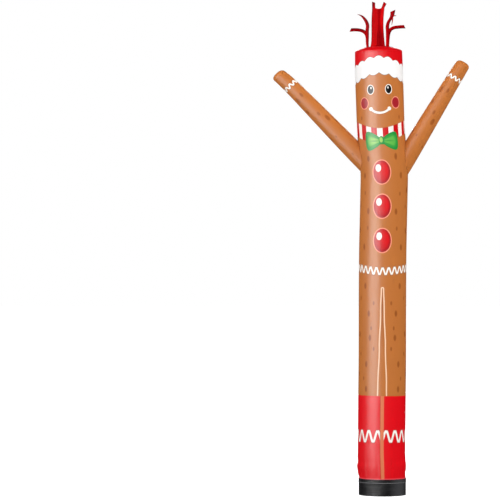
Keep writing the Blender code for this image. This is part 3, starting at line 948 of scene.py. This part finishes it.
def makeStrip(name, material):
    bm = startCloth()
    end = layRibbon(bm, hair["strips"][name], 0.0, hair["slants"].get(name, 0.0) / 1000)
    for branch in hair["branches"].get(name, ()):
        layRibbon(bm, branch, end - hair["branchReach"] / 1000)
    addStreamer(name, bm, material)


def makeWideStreamer(material):   # creased along a ridge in front and a valley behind
    rows = [metres(*row) for row in hair["wide"]]
    left, right, depth = (rows[0][n] for n in (1, 4, 5))
    rows[0][0] = root = rootUp((left + right) / 2, depth)
    folds = hair["folds"]
    edgeUp, edgeSag, flatWidth, hornLength = metres(*hair["tornEdge"], hair["flatWidth"], hair["hornLength"])
    tornFrom, tornTo = hair["horns"][0][1], hair["horns"][1][0]

    def topAt(share):
        bow = sin(pi * clamped((share - tornFrom) / (tornTo - tornFrom)))
        return edgeUp - edgeSag * bow ** 0.7 + 2 * fray(share * 40.0, 3.1, 0.0) * bow

    def place(share, t):
        up = root + (topAt(share) - root) * t
        left, ridge, valley, right, depth, crease = (readCurve(rows, up, n) for n in range(1, 7))
        sides = (left, ridge, valley, right)
        depths = (depth - 1.2 * crease, depth + crease, depth - 0.6 * crease, depth - 0.3 * crease)
        n = (share > folds[1]) + (share > folds[2])
        part = (share - folds[n]) / (folds[n + 1] - folds[n])
        side = sides[n] + (sides[n + 1] - sides[n]) * part
        back = depths[n] + (depths[n + 1] - depths[n]) * part
        back -= 0.0014 * sin(pi * part) * (1.0 + sin(9.0 * part + 26.0 * up))
        side += fray(up * 90.0, share * 3.0, 7.0) * (abs(share - 0.5) * 2) ** 4
        return headPoint(side, back, None if t == 0.0 else up)

    # painted shade: the middle facet, turned away from the light, darkest; the right facet dark low down and
    # lighter higher up; darker at the edges
    def fold(share, t):
        rise = clamped((t - 0.26) / 0.34)
        tones = (0.42, 0.78 - 0.2 * rise, 0.6 - 0.42 * rise)
        tone = tones[(share >= folds[1]) + (share >= folds[2])]
        edge = max(0.0, 1.0 - share / 0.09, 1.0 - (1.0 - share) / 0.07)
        return min(tone + 0.55 * edge ** 2, 1.0)

    bm = startCloth()
    columns = stops(0.0, (tornFrom, 7), (0.412, 5), (0.428, 2), (tornTo, 10), (0.772, 1), (0.78, 1), (1.0, 7))
    layPanel(bm, columns, stops(0.0, (0.96, 48), (1.0, 4)), place,
             lambda share, t: (share * flatWidth, t * (edgeUp - root)), fold)
    for low, high, middles, tips in hair["horns"]:
        def hornPlace(share, t):
            part = (share - low) / (high - low)
            middle, tip = (headPoint(*metres(*first)).lerp(headPoint(*metres(*last)), part)
                           for first, last in (middles, tips))
            base = place(share, 1.0)
            return base * (1 - t) * (1 - 2 * t) + middle * 4 * t * (1 - t) + tip * t * (2 * t - 1)

        # the horns carry the same painted shade, darker towards their tips
        layPanel(bm, [share for share in columns if low <= share <= high], evenly(0.0, 1.0, 10), hornPlace,
                 lambda share, t: (share * flatWidth, edgeUp - root + t * hornLength),
                 lambda share, t: min(fold(share, 1.0) + 0.5 * t ** 0.5, 1.0))
    addStreamer("hairWide", bm, material, 25)


# Stitch rows: small beads of thread, half sunk in the cloth

stitches = {
    "plain": (0.0036, 0.001, 0.005),   # long, thick, pitch
    "collarTopRow": (0.0036, 0.0011, 0.005),
    "collarHemRow": (0.0058, 0.002, 0.007),
    "collarRows": (("collarHemRow", 0.0862, "collarThread"), ("collarTopRow", 0.105, "darkThread")),
    "headRows": (("bandOuterRow", 0.0925), ("bandInnerRow", 0.0695), ("ventRow", 0.059)),   # name, radius
    "underCrown": 0.007, "besideArm": 0.005, "besideBack": 0.0044,
}


def sewRow(name, thread, slot, low, high, place, axis=footX, outward=None):   # evenly where place(t) runs
    long, thick, pitch = stitches.get(name, stitches["plain"])
    fine = [place(t) for t in evenly(low, high, 400)]
    lengths = lengthsAlong(fine)
    count = round(lengths[-1] / pitch)
    n = 0
    row = bmesh.new()
    for start in range(0, count, 40):   # in short lengths, which is much quicker
        bm = bmesh.new()
        for stitch in range(start, min(start + 40, count)):
            reach = lengths[-1] * (stitch + 0.5) / count
            while lengths[n + 1] < reach:
                n += 1
            point = fine[n].lerp(fine[n + 1], (reach - lengths[n]) / (lengths[n + 1] - lengths[n]))
            heading = (fine[n + 1] - fine[n]).normalized()
            out = Vector(outward or (point.x - axis, point.y, 0.0)).normalized()
            axes = Matrix((heading * long / 2, out.cross(heading) * thick / 2, out * thick / 2))
            bmesh.ops.create_uvsphere(bm, u_segments=6, v_segments=4, radius=1.0,
                                      matrix=Matrix.Translation(point) @ axes.transposed().to_4x4())
        part = meshOf(name, bm)
        row.from_mesh(part)
        bpy.data.meshes.remove(part)
    bmesh.ops.recalc_face_normals(row, faces=row.faces)
    addPiece(name, meshOf(name, row), makeThread(thread), slot)


def makeStitches():
    foot = Vector((footX, 0.0, 0.0))
    radius = collar["bore"] + collar["wall"] + collar["hemStep"]
    for name, height, kind in stitches["collarRows"]:
        sewRow(name, kind, "collar_cloth", -pi, pi,
               lambda angle: foot + roundSpot(angle, radius, height))
    height = crownHeight - stitches["underCrown"]
    sewRow("crownRow", "redThread", "printed_cloth", -girth / 2, girth / 2,
           lambda arc: tubePoint(arc, height), footX + tubeLevel(height)[0])
    for name, radius in stitches["headRows"]:
        lift = top["hemLift"] if name == "ventRow" else 2 * seamGap + top["bandWall"]
        sewRow(name, "redThread", "top_cloth", -pi, pi, lambda angle: domePoint(angle, radius, lift),
               outward=(0, 0, 1))
    away = stitches["besideArm"]
    for arm in sleeve["arms"]:   # round the arm hole, and along the sleeve
        sewRow(f"{arm.name}Row", "brownThread", "arm_cloth", -pi, pi,
               lambda angle: armPucker(armPoint(arm, angle, armRoot(arm, angle, 0.0, away), away)))
        sewRow(f"{arm.name}SeamRow", "brownThread", "arm_cloth", 0.05, armRoot(arm, pi) - 0.006,
               lambda fromTip: armPoint(arm, pi, fromTip), outward=(0, 1, 0))
    arc = girth / 2 - stitches["besideBack"]
    for name, side in (("backSeamLeftRow", -arc), ("backSeamRightRow", arc)):
        sewRow(name, "brownThread", "printed_cloth", 0.114, crownHeight - 0.004,
               lambda height: tubePoint(side, height), outward=(0, 1, 0))


print("helpers and sizes ready")
printedCloth = makeCloth("printedCloth", drawWrap)
sleeveCloth = makeCloth("sleeveCloth", drawSleeve)
capCloth = makeCloth("topCloth", drawCap)
streamerCloth = makeCloth("streamerCloth", drawStreamer)
collarCloth = makeCloth("collarCloth", drawCollar, finishCollar)
print("materials ready")
makeTube(printedCloth)
for arm in sleeve["arms"]:
    makeArm(arm, sleeveCloth)
makeTopPanel(capCloth)
makeCollar(collarCloth)
print("tube, arms, top and collar ready")
makeBand(capCloth)
for name in hair["strips"]:
    makeStrip(name, streamerCloth)
makeWideStreamer(streamerCloth)
print("hair ready")
makeStitches()
print("stitches ready")


# Stage, light and camera

stage = {
    "cameraDistance": 18.0, "cameraHeight": 1.612,
    "frameWidth": 3.3,   # what the picture spans at the object
    "sensor": 36.0,
    "aside": 0.8733,   # the picture's middle, left of the foot's axis
    "floor": (60.0, 0.0005),   # its radius, how far under the collar
    "room": 0.15,   # the room's own light on the cloth
    "boxes": (   # name, azimuth, distance, height, aim, wide, tall, watts
        ("boxFront", 42, 3.0, 2.05, 2.05, 2.5, 4.1, 185),
        ("boxAbove", 0, 3.0, 3.35, 2.6, 3.0, 0.8, 20),
        ("boxBack", 182, 3.0, 2.05, 2.05, 1.2, 4.1, 50),
    ),
    "fills": (
        *((f"fill{azimuth}", azimuth, 7.0, 1.8, 1.6, 5.0, 4.0, 278) for azimuth in (0, 68, 142, 218, 292)),
        ("fillTop", 0, 2.0, 9.0, 1.6, 5.0, 4.0, 330),
    ),
}


def makeStage():
    radius, under = stage["floor"]
    bm = bmesh.new()
    bmesh.ops.create_circle(bm, cap_ends=True, segments=96, radius=radius)
    bmesh.ops.translate(bm, verts=bm.verts, vec=(0.0, 0.0, -under))
    floor = addObject("floor", meshOf("floor", bm))
    material, shader = newMaterial("paleFloor", 0.9, 0.0)
    shader.inputs["Base Color"].default_value = (0.5, 0.5, 0.5, 1.0)
    shader.inputs["Emission Color"].default_value = (1.0, 1.0, 1.0, 1.0)
    shader.inputs["Emission Strength"].default_value = 1.0
    material.cycles.emission_sampling = 'NONE'
    floor.data.materials.append(material)
    floor.visible_glossy = False
    floor.visible_diffuse = False


def addLight(name, azimuth, distance, height, aim, wide, tall, watts):
    lamp = bpy.data.lights.new(name, 'AREA')
    lamp.shape = 'RECTANGLE'
    lamp.size, lamp.size_y, lamp.energy = wide, tall, watts
    lamp.cycles.use_multiple_importance_sampling = False
    light = addObject(name, lamp)
    turn = radians(azimuth)
    light.location = (footX - distance * sin(turn), -distance * cos(turn), height)
    light.rotation_euler = (Vector((footX, 0.0, aim)) - light.location).to_track_quat('-Z', 'Y').to_euler()
    light.visible_camera = False
    return light


def makeLights():   # boxes for the highlights alone, an even fill without gloss
    for sizes in stage["boxes"]:
        addLight(*sizes).visible_diffuse = False
    for sizes in stage["fills"]:
        addLight(*sizes).visible_glossy = False
    world = bpy.data.worlds.new("paleRoom")
    bpy.context.scene.world = world
    world.use_nodes = True
    world.cycles.sampling_method = 'NONE'
    cloth, camera = (addNode(world.node_tree, "LightPath", {}, f"Is {kind} Ray")
                     for kind in ("Diffuse", "Camera"))
    background = world.node_tree.nodes["Background"]
    background.inputs["Color"].default_value = (1.0, 1.0, 1.0, 1.0)
    plug(background.inputs["Strength"], cloth * stage["room"] + camera)


def makeCamera():
    distance, sensor = stage["cameraDistance"], stage["sensor"]
    data = bpy.data.cameras.new("camera")
    data.sensor_width = sensor
    data.lens = sensor * distance / stage["frameWidth"]
    data.clip_end = 400.0
    camera = addObject("camera", data)
    camera.location = (footX, -distance, stage["cameraHeight"])
    camera.rotation_euler = (pi / 2, 0.0, atan(stage["aside"] / distance))
    bpy.context.scene.camera = camera


makeStage()
makeLights()
makeCamera()
bpy.context.scene.view_settings.view_transform = 'Standard'
